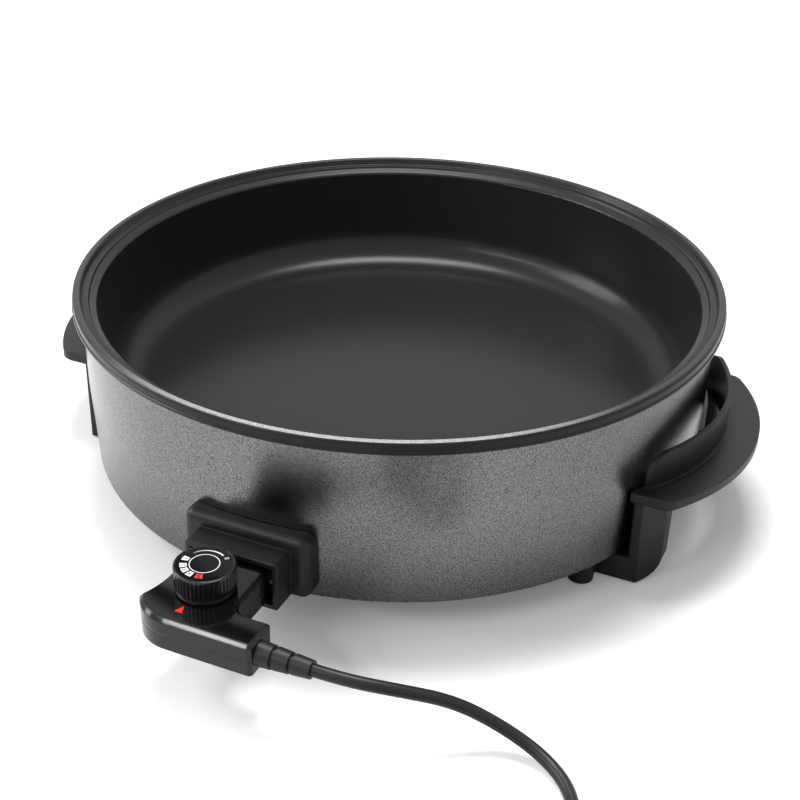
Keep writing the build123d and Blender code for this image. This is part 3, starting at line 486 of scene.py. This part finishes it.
def hammer_lacquer(name, dark, light, roughness, scale, depth):
    """The lacquer's colour and roughness between two ends by the speck mask, bumps by its
    height."""
    material, tree, shader = new_material(name)
    speckled = use_group(tree, speckle_group(), {"Scale": scale})
    specks = speckled.outputs["Specks"]
    feed(tree, shader.inputs["Base Color"], colour_mix(tree, specks, dark, light))
    dullest, glossiest = roughness * 1.15, roughness * 0.85
    spread = ramp(tree, specks, 0.0, 1.0, dullest, glossiest, "LINEAR")
    feed(tree, shader.inputs["Roughness"], spread)
    feed(tree, shader.inputs["Normal"], bumped(tree, speckled.outputs["Height"], depth))
    feed(tree, shader.inputs["Metallic"], 1.0)
    return material


lacquer = hammer_lacquer(
    "hammer_lacquer",
    dark=(0.062, 0.062, 0.062),
    light=(0.252, 0.252, 0.252),
    roughness=0.22,
    scale=2050.0,
    depth=0.00004,
)
dress(lacquer, "outer_shell")

# ------------------------------------------------------------------ socket, handles and feet
# Mouldings of matt black thermoset: the socket's flange and collar, and on each side a grip
# plate, its guard, two legs and their feet in one piece, held by screws over rubber pads.
thermoset = finish_for(
    "matt_thermoset",
    (0.014, 0.014, 0.0147),
    0.38,
    grain_scale=1300.0,
    depth=0.00003,
    edge=0.0015,
    specular=0.26,
)
pad_rubber = finish_for("pad_rubber", (0.02, 0.02, 0.02), 0.7, grain_scale=900.0, depth=0.00004)
zinc = finish_for("zinc_steel", (0.5, 0.5, 0.5), 0.32, metallic=1.0, depth=0.000004)
dress(thermoset, "socket_housing", "handle_right", "handle_left")
dress(pad_rubber, "foot_pads")
dress(zinc, "foot_screws", "socket_screws", "shell_screws")

# ------------------------------------------------------------------ heating element
# A sheathed tube under the floor with steatite seals at its ends; the insert in the socket and
# the base of the control's switch are of the same steatite.
element_sheath = finish_for(
    "element_sheath", (0.36, 0.34, 0.31), 0.4, metallic=1.0, depth=0.000008, drift=0.12
)
steatite = finish_for(
    "steatite", (0.74, 0.72, 0.66), 0.6, grain_scale=1800.0, depth=0.00002, drift=0.04
)
dress(element_sheath, "heating_element")
dress(steatite, "element_seals", "socket_insert", "switch_base")

# ------------------------------------------------------------------ control's shells
# Two glossy black half shells. They meet in a fine line round the side, at the height of the
# pins.
pin_height = 0.0405


def glossy_shell(name, colour, roughness, seam):
    """The gloss of finish_for with a narrow dark groove, sunk by bump, at the seam's height."""
    half_line, soft_edge, groove_depth = 0.00016, 0.00036, 0.0003
    material = finish_for(
        name,
        colour,
        roughness,
        grain_scale=500.0,
        depth=0.000004,
        edge=0.0014,
        drift=0.08,
        specular=0.36,
    )
    tree = material.node_tree
    rises = height_mask(tree, seam - soft_edge, seam - half_line)
    falls = height_mask(tree, seam + half_line, seam + soft_edge)
    groove = arithmetic(tree, "SUBTRACT", rises, falls)
    tint_by(tree, groove, (0.001, 0.001, 0.001))
    normal = tree.nodes["Principled BSDF"].inputs["Normal"]
    plain = normal.links[0].from_socket
    feed(tree, normal, bumped(tree, groove, groove_depth, plain, invert=True))
    return material


control_gloss = glossy_shell("control_gloss", (0.003, 0.003, 0.0033), 0.1, pin_height)
dress(control_gloss, "thermostat_upper_shell", "thermostat_lower_shell")

# ------------------------------------------------------------------ inside of the control
# Brass contacts, a nickel-plated probe, a moulded block that carries them, and the small parts
# round the switch.
brass = finish_for("brass", (0.7, 0.5, 0.22), 0.28, metallic=1.0, depth=0.000004, drift=0.1)
spring_steel = finish_for(
    "spring_steel", (0.55, 0.54, 0.52), 0.25, metallic=1.0, depth=0.000003
)
inner_black = finish_for("inner_moulding", (0.03, 0.03, 0.03), 0.55, depth=0.00002)
probe_metal = finish_for("probe_metal", (0.6, 0.59, 0.56), 0.24, metallic=1.0, depth=0.000003)
dress(brass, "contact_tubes", "contact_blades")
dress(spring_steel, "earth_spring")
dress(inner_black, "connector_block", "terminal_block", "cord_clamp", "spindle")
dress(probe_metal, "probe_tube")

# ------------------------------------------------------------------ signal lamp
# A wedge of red plastic under a clear gloss, its tip towards the knob, over a neon lamp of
# clear glass.
red_plastic = finish_for(
    "red_lens", (0.72, 0.014, 0.012), 0.16, grain_scale=300.0, depth=0.000002, coat=0.4
)
lamp_glass = finish_for("lamp_glass", (0.85, 0.6, 0.45), 0.08, depth=0.000002)
lamp_glass.node_tree.nodes["Principled BSDF"].inputs["Transmission Weight"].default_value = 0.8
dress(red_plastic, "indicator_lens")
dress(lamp_glass, "neon_lamp")

# ------------------------------------------------------------------ knob and dial
# A satin black knob with a grooved side. A glossy disc in its top is printed in white and red:
# a ring, an arc that thins to a point, the steps 0 to 4 and a red step 5.
knob_satin = finish_for(
    "knob_satin",
    (0.006, 0.006, 0.0065),
    0.17,
    grain_scale=900.0,
    depth=0.000008,
    edge=0.0008,
    specular=0.45,
)
dial_gloss = finish_for(
    "dial_gloss",
    (0.004, 0.004, 0.0043),
    0.14,
    grain_scale=600.0,
    depth=0.000003,
    edge=0,
    specular=0.2,
)
dress(knob_satin, "knob")
dress(dial_gloss, "dial_plate")

dial_centre = np.array((0.0, -0.2416))
dial_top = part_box("dial_plate")[1].z
print_gap = 0.00004
digit_lift = 0.00003
box_inner, box_outer = 0.0091, 0.0128
digit_radius, digit_size = 0.01095, 0.0038
arc_thin, arc_wide = 0.00005, 0.0009


def printed_band(name, inner, outer, start, end, points=48):
    """A flat ring sector on the dial, from a start to an end angle in degrees; the radii are
    functions of the share of the way round, or numbers."""
    full_turn = abs(end - start) >= 360.0
    share = np.linspace(0.0, 1.0, points, endpoint=not full_turn)
    angle = np.radians(start + (end - start) * share)
    height = np.full(points, dial_top + print_gap)
    rows = []
    for radius in (outer, inner):
        r = radius(share) if callable(radius) else np.full(points, radius)
        x = dial_centre[0] + r * np.cos(angle)
        y = dial_centre[1] + r * np.sin(angle)
        rows.append(np.column_stack((x, y, height)))
    return grid_mesh(name, np.stack(rows), closed_v=full_turn)


def printed_digit(name, text, size, angle, radius, lift):
    """A digit as a flat mesh on the dial, its foot towards the centre."""
    curve = bpy.data.curves.new(name, "FONT")
    curve.body = text
    curve.size = size
    curve.align_x = "CENTER"
    curve.align_y = "CENTER"
    holder = add_object(name + "_text", curve)
    bpy.context.view_layer.update()
    mesh = bpy.data.meshes.new_from_object(
        holder.evaluated_get(bpy.context.evaluated_depsgraph_get())
    )
    bpy.data.objects.remove(holder)
    turn = math.radians(angle)
    place = (
        dial_centre[0] + radius * math.cos(turn),
        dial_centre[1] + radius * math.sin(turn),
        dial_top + print_gap + lift,
    )
    mesh.transform(Matrix.Translation(place) @ Matrix.Rotation(turn - math.pi / 2, 4, "Z"))
    mesh.name = name
    return add_object(name, mesh)


def arc_line(share):
    """The radius that the arc follows: a little more towards its thin end."""
    return 0.0109 + 0.0003 * share


def arc_inside(share):
    """The arc's inner edge."""
    return arc_line(share) - arc_thin


def arc_outside(share):
    """The arc's outer edge, which comes in to the thin end's."""
    return arc_line(share) + arc_thin + arc_wide * (1 - share) ** 0.7


white_ink = finish_for("white_ink", (0.8, 0.8, 0.8), 0.45, depth=0.000003, edge=0, drift=0.02)
red_ink = finish_for("red_ink", (0.6, 0.02, 0.025), 0.4, depth=0.000003, edge=0, drift=0.02)

white_marks = [
    printed_band("print_ring", 0.0076, 0.0081, 0.0, 360.0, 96),
    printed_band("print_arc", arc_inside, arc_outside, 62.5, 151.5),
    printed_digit("print_0", "0", 0.0034, 47.5, 0.0118, 0.0),
]
# Each step's digit with its angle and half the angle of its box; the last one's box is red.
steps = (
    ("1", 181.5, 8.5),
    ("2", 212.0, 8.5),
    ("3", 234.5, 8.5),
    ("4", 257.5, 8.5),
    ("5", 285.5, 10.0),
)
*white_boxes, red_box = [
    printed_band(f"print_box_{text}", box_inner, box_outer, angle - half, angle + half, 12)
    for text, angle, half in steps
]
white_marks += white_boxes
dark_digits = [
    printed_digit(f"print_{text}", text, digit_size, angle, digit_radius, digit_lift)
    for text, angle, _ in steps
]
for piece in white_marks + [red_box] + dark_digits:
    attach(piece, "knob")
dress(white_ink, *white_marks)
dress(red_ink, red_box)
dress(dial_gloss, *dark_digits)

# ------------------------------------------------------------------ table and light
# A white table that runs out to a white room, clear when seen from below. A large soft light
# stands above and behind, a second on the left, and a narrow strip in front on the left draws
# fine lines on the rounded edges.
table_reach = 12


def seen_rays(tree):
    """A socket that is 1 for the rays that show the background: straight from the camera, or
    by way of gloss or glass."""
    path = tree.nodes.new("ShaderNodeLightPath")
    socket = path.outputs["Is Camera Ray"]
    for name in ("Is Glossy Ray", "Is Transmission Ray"):
        socket = arithmetic(tree, "MAXIMUM", socket, path.outputs[name])
    return socket


floor_mesh = bpy.data.meshes.new("table_top")
corner_signs = ((-1, -1), (1, -1), (1, 1), (-1, 1))
floor_mesh.from_pydata(
    [(x * table_reach, y * table_reach, 0) for x, y in corner_signs], [], [(0, 1, 2, 3)]
)
table_top = add_object("table_top", floor_mesh)
table_white, table_tree, table_shader = new_material("table_white")
table_tone = colour_mix(table_tree, seen_rays(table_tree), (0.7, 0.7, 0.7), (1.0, 1.0, 1.0))
feed(table_tree, table_shader.inputs["Base Color"], table_tone)
feed(table_tree, table_shader.inputs["Roughness"], 0.7)
feed(table_tree, table_shader.inputs["Specular IOR Level"], 0.0)
# For the camera the table glows faintly: less near the object, so that its shadow stays, and
# most far off, where it meets the room.
camera_ray = table_tree.nodes.new("ShaderNodeLightPath").outputs["Is Camera Ray"]
distance = place_measure(table_tree, "LENGTH")
near_glow = ramp(table_tree, distance, low=0.19, high=0.34, least=0.12, most=0.36)
far_glow = ramp(table_tree, distance, low=0.5, high=1.8, least=0.0, most=0.35)
glow = arithmetic(table_tree, "ADD", near_glow, far_glow)
seen_glow = arithmetic(table_tree, "MULTIPLY", camera_ray, glow)
feed(table_tree, table_shader.inputs["Emission Strength"], seen_glow)
feed(table_tree, table_shader.inputs["Emission Color"], (1.0, 1.0, 1.0))
underneath = table_tree.nodes.new("ShaderNodeNewGeometry").outputs["Backfacing"]
from_below = arithmetic(table_tree, "MULTIPLY", underneath, camera_ray)
clear = table_tree.nodes.new("ShaderNodeBsdfTransparent")
table_mix = table_tree.nodes.new("ShaderNodeMixShader")
for entry, socket in enumerate((from_below, table_shader.outputs[0], clear.outputs[0])):
    feed(table_tree, table_mix.inputs[entry], socket)
feed(table_tree, table_tree.nodes["Material Output"].inputs["Surface"], table_mix.outputs[0])
dress(table_white, table_top)

world = bpy.data.worlds.new("room")
scene.world = world
world.use_nodes = True
room = world.node_tree
room_light = room.nodes["Background"]
feed(room, room_light.inputs["Color"], (1.0, 1.0, 1.0))
feed(room, room_light.inputs["Strength"], 0.36)
room_seen = room.nodes.new("ShaderNodeBackground")
feed(room, room_seen.inputs["Color"], (1.0, 1.0, 1.0))
room_mix = room.nodes.new("ShaderNodeMixShader")
for entry, socket in enumerate((seen_rays(room), room_light.outputs[0], room_seen.outputs[0])):
    feed(room, room_mix.inputs[entry], socket)
feed(room, room.nodes["World Output"].inputs["Surface"], room_mix.outputs[0])


def soft_light(name, place, aim, width, height, power):
    """A rectangular area light that faces a point."""
    data = bpy.data.lights.new(name, "AREA")
    data.shape = "RECTANGLE"
    data.size = width
    data.size_y = height
    data.energy = power
    light = add_object(name, data)
    light.location = place
    towards = np.array(aim, float) - np.array(place, float)
    light.rotation_mode = "QUATERNION"
    light.rotation_quaternion = Vector(towards).to_track_quat("-Z", "Y")


soft_light("top_light", (-0.1, 0.25, 1.5), (0, 0, 0.05), 0.7, 0.45, 19.0)
soft_light("left_light", (-1.25, -0.4, 0.85), (0, 0, 0.05), 0.7, 0.8, 13.3)
soft_light("strip_light", (-0.7, -1.25, 1.1), (0, -0.2, 0.06), 1.0, 0.06, 5.5)

scene.view_settings.view_transform = "Standard"
